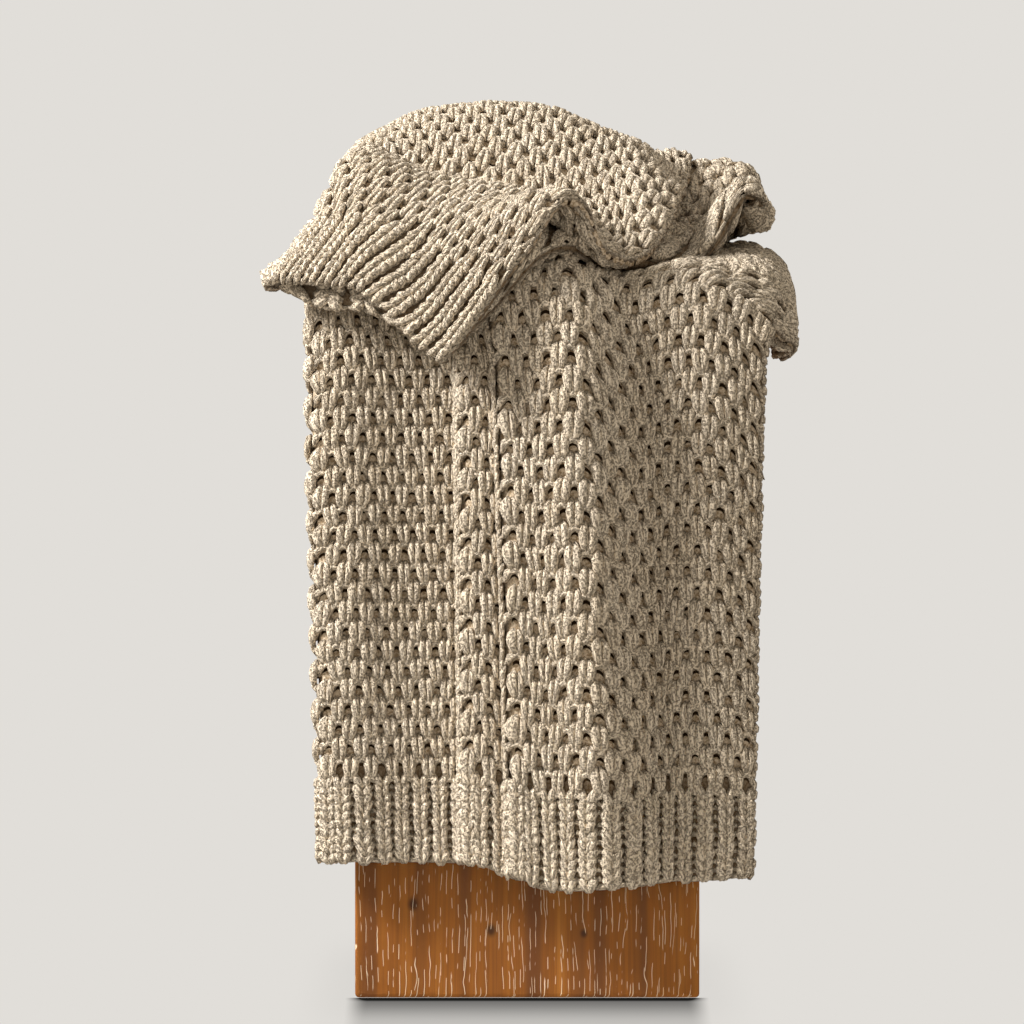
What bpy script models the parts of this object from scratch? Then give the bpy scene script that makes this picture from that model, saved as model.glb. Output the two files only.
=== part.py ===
"""Chenille knit throw folded in layers and draped over a square wooden pedestal.

The throw is one sheet. Its width is folded back and forth into six layers that hang down the front,
run over the top, turn back over themselves in a heap and end in a ribbed flap at the front left.
Sizes are in millimetres, +Z up, the front faces -Y, and the origin is under the pedestal's middle.
"""

import bpy
import numpy as np

MM = 0.001

PEDESTAL_SIDE = 305.0
PEDESTAL_HEIGHT = 610.0
PEDESTAL_EDGE = 3.5

SHEET = 5.0          # thickness of the knit where layers press together
PITCH = 7.6          # from one folded layer to the next
SETTLE = 48.0        # width over which a layer sinks past the end of the one under it
RIB_PITCH = 18.6
RIB_HEIGHT = 2.0
RIB_BAND = 78.0
AWAY_X = 26.0        # how far round a place its stacking direction is averaged
AWAY_S = 18.0
ARCH_LIFT = 36.0     # height of the arch in the flap's free edge
ARCH_LENGTH = 31.0
ARCH_REACH = 84.0
DROOP_START = 200.0  # where the right margin starts to bend down past the pedestal's side
DROOP_RADIUS = 30.0
DROOP_TURN = 1.95    # radians that it bends through

# One row per cross-section, from the hem that hangs in front, over the top, to the hem of the flap.
# y_left and y_right are the depth at the two sides, height is the sheet's at each SECTION_X,
# turned is 0 below the turn at the back and 1 above it, or more where the layers open out, and
# droop is how far the right margin bends down.
SECTION_X = (-220, -150, -80, 10, 90, 145, 190, 225)
SECTIONS = (
    # name          y_left  y_right  height at each SECTION_X                      turned  droop
    ("front_hem",     -160,    -160, (100, 100, 100, 100, 100, 100, 100, 100),        0.0,   0.0),
    ("front_low",     -160,    -160, (270, 270, 270, 270, 270, 270, 270, 270),        0.0,   0.0),
    ("front_high",    -160,    -160, (560, 560, 560, 560, 560, 560, 560, 560),        0.0,   0.0),
    ("under_edge",    -160,    -160, (580, 598, 600, 600, 600, 600, 594, 576),        0.0,   0.0),
    ("edge",          -155,    -155, (590, 612, 613, 613, 617, 622, 611, 584),        0.0,   0.1),
    ("over_edge",     -140,    -140, (594, 616.5, 617, 617, 625, 634, 621, 588),      0.0,   0.5),
    ("deck_front",    -112,    -112, (596, 616, 612.8, 612.8, 622, 637, 638, 620),    0.0,   1.0),
    ("deck",            20,      20, (596, 616, 612.8, 612.8, 621, 638, 652, 648),    0.0,   1.0),
    ("deck_back",      100,     100, (600, 617, 614, 614, 626, 643, 656, 652),        0.0,   0.9),
    ("turn_low",       152,     152, (622, 640, 642, 642, 650, 662, 668, 654),        0.1,   0.4),
    ("turn_back",      186,     186, (664, 690, 699, 699, 694, 694, 696, 684),        0.7,   0.0),
    ("turn_high",      168,     164, (700, 734, 753, 752, 740, 742, 743, 722),        1.2,   0.0),
    ("turn_top",       130,     112, (710, 746, 770, 772, 748, 714, 722, 714),        1.5,   0.0),
    ("dome",            84,      50, (706, 749, 777, 776, 746, 682, 706, 708),        1.5,   0.0),
    ("dome_front",      34,     -18, (702, 748, 757, 748, 724, 680, 728, 710),        1.5,   0.0),
    ("crease",         -22,     -66, (696, 744, 712, 699, 694, 660, 686, 672),        1.4,   0.0),
    ("ridge",          -76,    -185, (696, 742, 719, 706, 650, 643, 643, 643),        1.4,   0.0),
    ("brow",          -108,    -248, (700, 731, 706, 685, 648, 643, 643, 643),        1.5,   0.0),
    ("shoulder",      -138,    -284, (682, 702, 674, 660, 640, 640, 640, 640),        1.7,   0.0),
    ("flap_hem",      -196,    -306, (655, 632, 570, 530, 520, 520, 520, 520),        2.0,   0.0),
    ("tail",          -200,    -302, (620, 598, 530, 490, 480, 480, 480, 480),        2.0,   0.0),
)

# One row per long edge or fold of the sheet, from the free edge under the front panels to the one
# at their right. across is its distance from the first along the cloth, hem its height at the front,
# then x at twelve of the sections.
FOLD_AT = ("front_hem", "front_high", "edge", "deck_front", "deck_back", "turn_high",
           "dome", "crease", "ridge", "brow", "shoulder", "flap_hem")
FOLDS = (
    # name          across  hem   x at each of FOLD_AT
    ("inner_edge",       0, 112, (150, 150, 150, 140, 140, 150, 141, 130, 88, 48, 4, -73)),
    ("left_fold",      345, 119, (-178, -189, -189, -174, -168, -162, -150, -154, -158, -166, -182, -225)),
    ("under_strip",    607, 118, (60, 46, 26, 26, 120, 206, 212, 192, 160, 150, 150, 150)),
    ("strip_fold",     739, 119, (-54, -59, -62, -64, -80, -90, -90, -90, -90, -90, -90, -90)),
    ("under_panel",    904, 98, (82, 66, 46, 44, 100, 100, 100, 100, 100, 100, 100, 100)),
    ("panel_fold",    1036, 95, (-12, -27, -34, -20, -20, -60, -60, -60, -60, -60, -60, -60)),
    ("outer_edge",    1270, 105, (197, 208, 214, 270, 236, 200, 200, 200, 200, 200, 200, 200)),
)

# One row per place across the cloth: how far its far hem lies beyond the flap_hem section.
FAR_HEM = (
    # across  beyond
    (0,            0),
    (230,          0),
    (345,          2),
    (430,        -12),
    (520,       -190),
    (607,       -363),
    (739,       -640),
    (904,       -700),
    (1270,      -715),
)

# One row per soft upright fold of the hanging front: its x at the hem and at the edge, its width
# and how far it stands out.
SWELLS = (
    # name            x_hem  x_edge  width  out
    ("left_margin",    -158,   -163,    34,  10),
    ("panel_crest",      72,     32,    31,  17),
    ("right_margin",    176,    172,    30,   5),
    ("strip_crest",     -34,    -44,    16,   3),
)

RUN_COLUMNS = (15, 10, 4, 6, 4, 14)  # points across each flat layer
ARC_COLUMNS = 3                      # steps round each fold
BODY_ROWS = 38                       # rows of points between the ribbed hems
BEND_ROWS = 0.65                     # how much closer they lie where the sheet bends
ARCH_ROWS = 1.6                      # and round the arch


def spline(knots, values, at):
    """Curve through the values at the knots that never swings past them."""
    knots, values, at = (np.asarray(a, float) for a in (knots, values, at))
    shape = (-1,) + (1,) * (values.ndim - 1)
    step = np.diff(knots).reshape(shape)
    slope = np.diff(values, axis=0) / step
    tangent = np.empty_like(values)
    tangent[0], tangent[-1] = slope[0], slope[-1]
    product = slope[:-1] * slope[1:]
    total = slope[:-1] + slope[1:]
    safe = np.where(np.abs(total) < 1e-9, 1.0, total)
    tangent[1:-1] = np.where(product > 0, 2 * product / safe, 0.0)
    flat = at.ravel()
    i = np.clip(np.searchsorted(knots, flat, side="right") - 1, 0, len(knots) - 2)
    q = np.clip((flat - knots[i]) / (knots[i + 1] - knots[i]), 0, 1).reshape(shape)
    h = step[i]
    curve = ((2 * q**3 - 3 * q**2 + 1) * values[i] + (q**3 - 2 * q**2 + q) * h * tangent[i]
             + (3 * q**2 - 2 * q**3) * values[i + 1] + (q**3 - q**2) * h * tangent[i + 1])
    return curve.reshape(at.shape + values.shape[1:])


def smooth(q):
    """Soft step from 0 to 1 as q goes from 0 to 1."""
    q = np.clip(q, 0, 1)
    return q * q * (3 - 2 * q)


NAMES = [row[0] for row in SECTIONS]
DEPTH = np.array([(row[1], row[2]) for row in SECTIONS], float)
HEIGHT = np.array([row[3] for row in SECTIONS], float)
TURNED = np.array([row[4] for row in SECTIONS], float)
DROOP = np.array([row[5] for row in SECTIONS], float)
ACROSS = np.array([row[1] for row in FOLDS], float)
HEM = np.array([row[2] for row in FOLDS], float)
FOLD_X = np.array([row[3] for row in FOLDS], float).T


def travel():
    """Distance along the middle of the sheet to each section, in millimetres."""
    y = DEPTH.mean(axis=1)
    z = HEIGHT[:, 2:4].mean(axis=1)
    return np.concatenate(([0.0], np.cumsum(np.hypot(np.diff(y), np.diff(z)))))


TRAVEL = travel()
FOLD_TRAVEL = TRAVEL[[NAMES.index(name) for name in FOLD_AT]]
FAR = TRAVEL[NAMES.index("flap_hem")]
LENGTH = TRAVEL[-1]


def ground(x, s):
    """The lowest layer's place at x and the distance s along the sheet, before any layers lie on it."""
    share = (np.clip(x, -230, 230) + 220) / 440
    depth = spline(TRAVEL, DEPTH, s)
    y = depth[..., 0] * (1 - share) + depth[..., 1] * share
    rows = spline(SECTION_X, HEIGHT.T, np.clip(x, -220, 225))
    knots = np.clip(np.searchsorted(TRAVEL, s, side="right") - 1, 0, len(TRAVEL) - 2)
    z = np.empty(x.shape)
    for k in range(len(TRAVEL) - 1):
        here = knots == k
        lo, hi = max(k - 1, 0), min(k + 3, len(TRAVEL))
        if here.any():
            z[here] = blend(TRAVEL[lo:hi], rows[here][:, lo:hi], s[here], k - lo)
    return y, z


def blend(knots, rows, at, k):
    """Value at a distance between knots k and k + 1, one row of knot values for each point."""
    step = np.diff(knots)
    slope = np.diff(rows, axis=1) / step
    tangent = np.empty_like(rows)
    tangent[:, 0], tangent[:, -1] = slope[:, 0], slope[:, -1]
    product = slope[:, :-1] * slope[:, 1:]
    total = slope[:, :-1] + slope[:, 1:]
    safe = np.where(np.abs(total) < 1e-9, 1.0, total)
    tangent[:, 1:-1] = np.where(product > 0, 2 * product / safe, 0.0)
    h = step[k]
    q = (at - knots[k]) / h
    return ((2 * q**3 - 3 * q**2 + 1) * rows[:, k] + (q**3 - 2 * q**2 + q) * h * tangent[:, k]
            + (3 * q**2 - 2 * q**3) * rows[:, k + 1] + (q**3 - q**2) * h * tangent[:, k + 1])


def outward(s):
    """Unit direction away from the pedestal at the distance s, as its y and z parts."""
    y = DEPTH.mean(axis=1)
    z = HEIGHT[:, 2:4].mean(axis=1)
    path = np.stack((y, z), axis=1)
    ahead = spline(TRAVEL, path, np.clip(s + 4, 0, LENGTH))
    behind = spline(TRAVEL, path, np.clip(s - 4, 0, LENGTH))
    run = ahead - behind
    run /= np.linalg.norm(run, axis=-1, keepdims=True)
    return -run[..., 1], run[..., 0]


def away(x, s):
    """Unit direction square to the lowest layer round about x and s, away from the pedestal."""
    left, right = ground(x - AWAY_X, s), ground(x + AWAY_X, s)
    before, after = ground(x, np.maximum(s - AWAY_S, 0)), ground(x, np.minimum(s + AWAY_S, LENGTH))
    y_x, z_x = (right[0] - left[0]) / (2 * AWAY_X), (right[1] - left[1]) / (2 * AWAY_X)
    y_s, z_s = after[0] - before[0], after[1] - before[1]
    run = np.hypot(y_s, z_s)
    y_s, z_s = y_s / run, z_s / run
    nx, ny, nz = y_x * z_s - z_x * y_s, -z_s, y_s
    size = np.sqrt(nx**2 + ny**2 + nz**2)
    return nx / size, ny / size, nz / size


def stack(x, s, lines):
    """Distance of each of the six layers from the lowest one at x, s. lines holds the seven folds' x."""
    turned = spline(TRAVEL, TURNED, s)
    rise = np.zeros(x.shape + (6,))
    for k in range(1, 6):
        low = np.minimum(lines[..., k - 1], lines[..., k])
        high = np.maximum(lines[..., k - 1], lines[..., k])
        past = np.maximum(low - x, x - high)
        present = 1 - smooth(past / SETTLE)
        rise[..., k] = rise[..., k - 1] + PITCH * (present * (1 - np.minimum(turned, 1)) + turned)
    return rise


def middle(w, v):
    """Middle surface of the throw. w is 0 to 11 across it, whole steps being layers and folds by
    turns, and v is 0 at the front hem and 1 at the far one."""
    w, v = np.broadcast_arrays(np.asarray(w, float), np.asarray(v, float))
    across = across_cloth(w)
    start = spline(ACROSS, HEM, across) - HEIGHT[0, 0]
    beyond = spline([row[0] for row in FAR_HEM], [row[1] for row in FAR_HEM], across)
    half = TRAVEL[NAMES.index("deck_front")] / FAR
    s = FAR * v + start * (1 - smooth(v / 0.2)) + beyond * np.maximum((v - half) / (1 - half), 0)
    s = np.clip(s, -20, LENGTH)
    lines = spline(FOLD_TRAVEL, FOLD_X, s)
    run = np.clip(np.floor(w / 2).astype(int), 0, 5)
    q = w - 2 * run
    side = np.where(run % 2 == 0, -1.0, 1.0)
    a = np.take_along_axis(lines, run[..., None], -1)[..., 0]
    b = np.take_along_axis(lines, run[..., None] + 1, -1)[..., 0]
    r = PITCH / 2
    first = a + np.where(run > 0, side * r, 0)
    last = b - np.where(run < 5, side * r, 0)
    on_run = q <= 1
    x = np.where(on_run, first + (last - first) * np.clip(q, 0, 1), last)
    rise = stack(x, s, lines)
    here = np.take_along_axis(rise, run[..., None], -1)[..., 0]
    above = np.take_along_axis(rise, np.clip(run + 1, 0, 5)[..., None], -1)[..., 0]
    angle = np.clip(q - 1, 0, 1) * np.pi
    radius = (above - here) / 2
    out = np.where(on_run, here, here + radius * (1 - np.cos(angle)))
    x = np.where(on_run, x, x + side * radius * np.sin(angle))
    return place(x, s, out, across)


def across_cloth(w):
    """Distance across the cloth, in millimetres, for w from 0 to 11."""
    arc = np.pi * PITCH / 2
    at = [0.0]
    for k in range(6):
        at.append(ACROSS[k + 1] - (arc / 2 if k < 5 else 0))
        if k < 5:
            at.append(ACROSS[k + 1] + arc / 2)
    return np.interp(w, np.arange(12), at)


def place(x, s, out, across):
    """Point at x and s, out millimetres from the lowest layer, with the swells, arch and droop on."""
    y, z = ground(x, np.clip(s, 0, LENGTH))
    z = z + np.minimum(s, 0)
    nx, ny, nz = away(x, np.clip(s, 0, LENGTH))
    edge = TRAVEL[NAMES.index("edge")]
    hang = 1 - smooth((s - edge + 70) / 90)
    for row in SWELLS:
        centre = row[1] + (row[2] - row[1]) * np.clip(s / edge, 0, 1)
        out = out + row[4] * hang * np.exp(-((x - centre) / row[3]) ** 2)
    brow = TRAVEL[NAMES.index("brow")] + 12
    lift = ARCH_LIFT * np.exp(-((s - brow) / ARCH_LENGTH) ** 2) * np.exp(-(across / ARCH_REACH) ** 2)
    x, y, z = x + nx * out, y + ny * out, z + nz * out + lift
    amount = spline(TRAVEL, DROOP, np.clip(s, 0, LENGTH))
    past = np.maximum(x - DROOP_START, 0)
    angle = np.minimum(past / DROOP_RADIUS, DROOP_TURN)
    rest = past - angle * DROOP_RADIUS
    bent_x = DROOP_START + DROOP_RADIUS * np.sin(angle) + rest * np.cos(angle)
    bent_z = -DROOP_RADIUS * (1 - np.cos(angle)) - rest * np.sin(angle)
    x = np.where(past > 0, x + amount * (bent_x - x), x)
    z = np.where(past > 0, z + amount * bent_z, z)
    return np.stack((x, y, z), axis=-1)


def facing(w, v):
    """Unit normal of the middle surface, on its right side."""
    dw, dv = 0.004, 0.0006
    w_lo, w_hi = np.maximum(w - dw, 0), np.minimum(w + dw, 11)
    v_lo, v_hi = np.maximum(v - dv, 0), np.minimum(v + dv, 1)
    normal = np.cross(middle(w_hi, v) - middle(w_lo, v), middle(w, v_hi) - middle(w, v_lo))
    return normal / np.linalg.norm(normal, axis=-1, keepdims=True)


def side_row(w, v, half, raised=None):
    """One row of points on a side of the sheet, half its thickness from the middle."""
    v = np.full(len(w), v)
    lift = half if raised is None else half + np.sign(half) * raised
    return middle(w, v) + facing(w, v) * np.reshape(lift, (-1, 1))


def body_columns():
    """The places across the sheet of its columns of points."""
    places = []
    for k in range(6):
        places.extend(np.linspace(2 * k, 2 * k + 1, RUN_COLUMNS[k]))
        if k < 5:
            places.extend(np.linspace(2 * k + 1, 2 * k + 2, ARC_COLUMNS + 1)[1:-1])
    return np.array(places)


def rib_columns():
    """The places across the sheet of the crests and valleys of its ribs, and how high each stands at
    the front hem and at the far one. They stand out where the right side faces outward."""
    count = 2 * int(round(ACROSS[-1] / RIB_PITCH))
    fine = np.linspace(0, 11, 2201)
    places = np.interp(np.linspace(0, ACROSS[-1], count + 1), across_cloth(fine), fine)
    height = RIB_HEIGHT * (np.arange(count + 1) % 2)
    turn = places % 4
    return places, height * ((turn > 1) & (turn < 3.02)), height * ((turn < 2) | (turn > 3.98))


def zip_rows(faces, low, low_at, high, high_at, turn):
    """Triangles between two rows of points that have different places across the sheet."""
    i = j = 0
    while i < len(low) - 1 or j < len(high) - 1:
        step_low = j == len(high) - 1 or (i < len(low) - 1 and low_at[i + 1] <= high_at[j + 1])
        third = low[i + 1] if step_low else high[j + 1]
        face = (low[i], third, high[j])
        faces.append(face[::-1] if turn else face)
        i, j = (i + 1, j) if step_low else (i, j + 1)


def build_throw():
    """Points and faces of the throw: its right side, its back and the rim between them."""
    band = RIB_BAND / FAR
    rows = list(row_spacing(band + 10.0 / FAR))
    lower = [0.0, band]
    upper = [1 - band, 1 - band / 2, 1.0]
    steps = lower + rows + upper
    body = body_columns()
    ribs, raised_front, raised_far = rib_columns()
    points, faces = [], []
    count = 0

    def add(row):
        nonlocal count
        points.append(row)
        count += len(row)
        return list(range(count - len(row), count))

    right, right_at, back = [], [], []
    for v in steps:
        ribbed = v in lower or v in upper
        at = ribs if ribbed else body
        height = (raised_front if v in lower else raised_far) if ribbed else None
        right.append(add(side_row(at, v, SHEET / 2, height)))
        right_at.append(at)
    for v in steps:
        back.append(add(side_row(body, v, -SHEET / 2)))
    for a in range(len(steps) - 1):
        same = len(right[a]) == len(right[a + 1])
        if same:
            for i in range(len(right[a]) - 1):
                faces.append((right[a][i], right[a][i + 1], right[a + 1][i + 1], right[a + 1][i]))
        else:
            zip_rows(faces, right[a], right_at[a], right[a + 1], right_at[a + 1], False)
        for i in range(len(body) - 1):
            faces.append((back[a][i + 1], back[a][i], back[a + 1][i], back[a + 1][i + 1]))
        faces.append((right[a][0], right[a + 1][0], back[a + 1][0], back[a][0]))
        faces.append((right[a + 1][-1], right[a][-1], back[a][-1], back[a + 1][-1]))
    zip_rows(faces, back[0], body, right[0], ribs, False)
    zip_rows(faces, back[-1], body, right[-1], ribs, True)
    return np.concatenate(points) * MM, faces


def row_spacing(margin):
    """Rows of points along the sheet, closer together where it bends, margin in from each hem."""
    fine = np.linspace(margin, 1 - margin, 900)
    ny, nz = outward(fine * FAR)
    bend = np.abs(np.gradient(np.unwrap(np.arctan2(nz, ny)), fine))
    arch = np.exp(-((fine * FAR - TRAVEL[NAMES.index("brow")]) / 45) ** 2)
    density = 1.0 + BEND_ROWS * bend + ARCH_ROWS * arch
    total = np.concatenate(([0.0], np.cumsum((density[1:] + density[:-1]) / 2)))
    return np.interp(np.linspace(0, total[-1], BODY_ROWS), total, fine)


def clear_scene():
    """Remove every object, so the build starts from nothing."""
    for item in list(bpy.data.objects):
        bpy.data.objects.remove(item, do_unlink=True)


def material(name, colour, roughness):
    """A plain finish for one node."""
    finish = bpy.data.materials.new(name)
    finish.use_nodes = True
    shader = finish.node_tree.nodes["Principled BSDF"]
    shader.inputs["Base Color"].default_value = (*colour, 1.0)
    shader.inputs["Roughness"].default_value = roughness
    return finish


def add_object(name, points, faces, collection, finish):
    """Make one object of the given points and faces."""
    mesh = bpy.data.meshes.new(name)
    mesh.from_pydata([tuple(p) for p in points.tolist()], [], faces)
    mesh.update()
    mesh.materials.append(finish)
    item = bpy.data.objects.new(name, mesh)
    collection.objects.link(item)
    return item


def build_pedestal(collection, finish):
    """The wooden block, standing on the origin."""
    bpy.ops.mesh.primitive_cube_add(size=1)
    block = bpy.context.active_object
    block.name = "pedestal"
    block.data.name = "pedestal"
    for vertex in block.data.vertices:
        vertex.co.x *= PEDESTAL_SIDE * MM
        vertex.co.y *= PEDESTAL_SIDE * MM
        vertex.co.z = (vertex.co.z + 0.5) * PEDESTAL_HEIGHT * MM
    bevel = block.modifiers.new("edges", "BEVEL")
    bevel.width = PEDESTAL_EDGE * MM
    bevel.segments = 3
    block.data.materials.append(finish)
    for home in list(block.users_collection):
        home.objects.unlink(block)
    collection.objects.link(block)
    return block


def main():
    """Build the pedestal and the throw."""
    clear_scene()
    collection = bpy.data.collections.new("throw_on_pedestal")
    bpy.context.scene.collection.children.link(collection)
    build_pedestal(collection, material("wood", (0.27, 0.11, 0.04), 0.6))
    points, faces = build_throw()
    add_object("throw", points, faces, collection, material("knit", (0.52, 0.43, 0.31), 0.95))


main()
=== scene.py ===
"""Chenille knit throw folded in layers and draped over a square block of reclaimed wood.

The throw is one cloth: a thin ground sheet on the folds of its solid, with every visible stitch of its
honeycomb body, ribbed hems and chained edges laid on it as short lengths of yarn. Lengths in the tables
and classes are millimetres, +Z up, and the front faces -Y.
"""

import logging
import math
from dataclasses import dataclass
from enum import Enum

import bpy
import numpy as np
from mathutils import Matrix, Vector
from mathutils.bvhtree import BVHTree

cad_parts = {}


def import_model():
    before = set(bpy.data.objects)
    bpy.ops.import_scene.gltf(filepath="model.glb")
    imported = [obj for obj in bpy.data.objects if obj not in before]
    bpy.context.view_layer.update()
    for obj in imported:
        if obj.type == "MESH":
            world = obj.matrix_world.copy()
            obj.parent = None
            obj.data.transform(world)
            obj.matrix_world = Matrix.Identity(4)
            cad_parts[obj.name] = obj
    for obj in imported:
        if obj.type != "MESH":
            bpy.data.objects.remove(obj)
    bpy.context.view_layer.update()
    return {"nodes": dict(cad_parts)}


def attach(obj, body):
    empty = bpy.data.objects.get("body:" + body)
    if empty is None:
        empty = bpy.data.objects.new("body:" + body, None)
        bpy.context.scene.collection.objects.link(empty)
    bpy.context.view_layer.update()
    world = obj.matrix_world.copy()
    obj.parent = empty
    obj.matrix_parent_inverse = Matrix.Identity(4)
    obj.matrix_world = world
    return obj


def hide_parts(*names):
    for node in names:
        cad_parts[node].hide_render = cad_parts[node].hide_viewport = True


LOG = logging.getLogger("throw")
MM = 0.001

# One row per cross-section, from the hem that hangs in front, over the top, to the hem of the flap.
# y_left and y_right are the depth at the two sides, height is the sheet's at each SECTION_X,
# turned is 0 below the turn at the back and 1 above it, or more where the layers open out, and
# droop is how far the right margin bends down.
SECTION_X = (-220, -150, -80, 10, 90, 145, 190, 225)
SECTIONS = (
    # name          y_left  y_right  height at each SECTION_X                      turned  droop
    ("front_hem",     -160,    -160, (100, 100, 100, 100, 100, 100, 100, 100),        0.0,   0.0),
    ("front_low",     -160,    -160, (270, 270, 270, 270, 270, 270, 270, 270),        0.0,   0.0),
    ("front_high",    -160,    -160, (560, 560, 560, 560, 560, 560, 560, 560),        0.0,   0.0),
    ("under_edge",    -160,    -160, (580, 598, 600, 600, 600, 600, 594, 576),        0.0,   0.0),
    ("edge",          -155,    -155, (590, 612, 613, 613, 617, 622, 611, 584),        0.0,   0.1),
    ("over_edge",     -140,    -140, (594, 616.5, 617, 617, 625, 634, 621, 588),      0.0,   0.5),
    ("deck_front",    -112,    -112, (596, 616, 612.8, 612.8, 622, 637, 638, 620),    0.0,   1.0),
    ("deck",            20,      20, (596, 616, 612.8, 612.8, 621, 638, 652, 648),    0.0,   1.0),
    ("deck_back",      100,     100, (600, 617, 614, 614, 626, 643, 656, 652),        0.0,   0.9),
    ("turn_low",       152,     152, (622, 640, 642, 642, 650, 662, 668, 654),        0.1,   0.4),
    ("turn_back",      186,     186, (664, 690, 699, 699, 694, 694, 696, 684),        0.7,   0.0),
    ("turn_high",      168,     164, (700, 734, 753, 752, 740, 742, 743, 722),        1.2,   0.0),
    ("turn_top",       130,     112, (710, 746, 770, 772, 748, 714, 722, 714),        1.5,   0.0),
    ("dome",            84,      50, (706, 749, 777, 776, 746, 682, 706, 708),        1.5,   0.0),
    ("dome_front",      34,     -18, (702, 748, 757, 748, 724, 680, 728, 710),        1.5,   0.0),
    ("crease",         -22,     -66, (696, 744, 712, 699, 694, 660, 686, 672),        1.4,   0.0),
    ("ridge",          -76,    -185, (696, 742, 719, 706, 650, 643, 643, 643),        1.4,   0.0),
    ("brow",          -108,    -248, (700, 731, 706, 685, 648, 643, 643, 643),        1.5,   0.0),
    ("shoulder",      -138,    -284, (682, 702, 674, 660, 640, 640, 640, 640),        1.7,   0.0),
    ("flap_hem",      -196,    -306, (655, 632, 570, 530, 520, 520, 520, 520),        2.0,   0.0),
    ("tail",          -200,    -302, (620, 598, 530, 490, 480, 480, 480, 480),        2.0,   0.0),
)

# One row per long edge or fold of the sheet, from the free edge under the front panels to the one
# at their right. across is its distance from the first along the cloth, hem its height at the front,
# then x at twelve of the sections.
FOLD_AT = ("front_hem", "front_high", "edge", "deck_front", "deck_back", "turn_high",
           "dome", "crease", "ridge", "brow", "shoulder", "flap_hem")
FOLDS = (
    # name          across  hem   x at each of FOLD_AT
    ("inner_edge",       0, 116, (150, 150, 150, 140, 140, 150, 141, 130, 88, 48, 4, -73)),
    ("left_fold",      345, 123, (-178, -189, -189, -174, -168, -162, -150, -154, -158, -166, -182, -225)),
    ("under_strip",    607, 122, (60, 46, 26, 26, 120, 206, 212, 192, 160, 150, 150, 150)),
    ("strip_fold",     739, 123, (-54, -59, -62, -64, -80, -90, -90, -90, -90, -90, -90, -90)),
    ("under_panel",    904, 102, (82, 66, 46, 44, 100, 100, 100, 100, 100, 100, 100, 100)),
    ("panel_fold",    1036, 99, (-12, -27, -34, -20, -20, -60, -60, -60, -60, -60, -60, -60)),
    ("outer_edge",    1270, 109, (197, 208, 214, 270, 236, 200, 200, 200, 200, 200, 200, 200)),
)
ACROSS = {row[0]: float(row[1]) for row in FOLDS}

# One row per place across the cloth: how far its far hem lies beyond the flap_hem section.
FAR_HEM = (
    # across  beyond
    (0,            0),
    (230,          0),
    (345,          8),
    (385,         24),
    (430,          2),
    (520,       -190),
    (607,       -363),
    (739,       -640),
    (904,       -700),
    (1270,      -715),
)

# One row per place where the hem that hangs in front curves off the line between two folds.
HEM_CURVES = (
    # across  reach   up
    (1036,       24,  12),
    (792,        26, -10),
)

# One row per soft upright fold of the hanging front: its x at the hem and at the edge, its width
# and how far it stands out.
SWELLS = (
    # name            x_hem  x_edge  width  out
    ("left_margin",    -158,   -163,    34,  10),
    ("panel_crest",      72,     32,    31,  17),
    ("right_margin",    176,    172,    30,   5),
    ("strip_crest",     -34,    -44,    16,   3),
)

# One row per strand of a stitch: four points of its curve, each across, along and out from the cloth,
# its yarn radius, and how many rings of points it has. A paired strand has a twin on the other side.
BODY_STRANDS = (
    # name   pair   start               first bend         second bend        end               radius rings
    ("leg",   True,  (-2.0, 10.6, 1.4),  (-4.2, 7.6, 5.6),  (-3.6, -2.4, 8.0), (-1.2, -12.4, 3.6),  3.7, 5),
    ("arch",  False, (-8.2, -21.0, 1.2), (-5.8, -7.6, 5.0), (5.8, -7.6, 5.0),  (8.2, -21.0, 1.2),   3.2, 5),
)
RIB_STRANDS = (
    # name   pair   start               first bend         second bend        end               radius rings
    ("leg",   True,  (-4.0, 6.4, 1.6),   (-4.2, 3.0, 5.4),  (-2.4, -1.2, 6.4), (-0.7, -6.0, 3.6),  2.95, 4),
)
PURL_STRANDS = (
    # name   pair   start               first bend         second bend        end               radius rings
    ("rung",  False, (-2.6, -0.8, 1.2),  (-1.4, 1.2, 3.4),  (1.4, 1.2, 3.4),   (2.6, -0.8, 1.2),    2.2, 3),
)
FOLD_STRANDS = (
    # name   pair   start               first bend         second bend        end               radius rings
    ("link",  True,  (-2.6, 6.4, 1.4),   (-2.8, 2.8, 4.4),  (-1.8, -1.4, 5.0), (-0.6, -6.2, 3.0),   2.9, 4),
)
EDGE_STRANDS = (
    # name   pair   start               first bend         second bend        end               radius rings
    ("chain", False, (0.4, 5.6, 0.0),    (2.8, 3.2, 2.6),   (2.8, -2.0, 2.6),  (-0.8, -5.4, 0.0),   2.7, 4),
)
BINDING_STRANDS = (
    # name   pair   start               first bend         second bend        end               radius rings
    ("loop",  False, (-5.4, -0.8, 0.0),  (-2.4, 1.4, 3.0),  (2.4, 1.4, 3.0),   (5.4, -0.8, 0.0),    2.7, 4),
)

# One row per square light: its place in metres, its side, watts, colour and beam, and what it faces.
LIGHTS = (
    # name   place                 side  watts  colour              beam   faces
    ("key",  (-2.45, -1.05, 2.3),   0.8, 182.0, (1.0, 0.99, 0.975), 180.0, (0.0, 0.0, 0.45)),
    ("low",  (-0.5, -2.4, 0.16),    0.3,   0.1, (1.0, 0.96, 0.9),    14.0, (0.0, -0.15, 0.0)),
    ("rim",  (-1.2, 1.6, 1.9),      1.4,  20.0, (1.0, 0.98, 0.96),  180.0, (0.0, 0.0, 0.45)),
)


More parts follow.
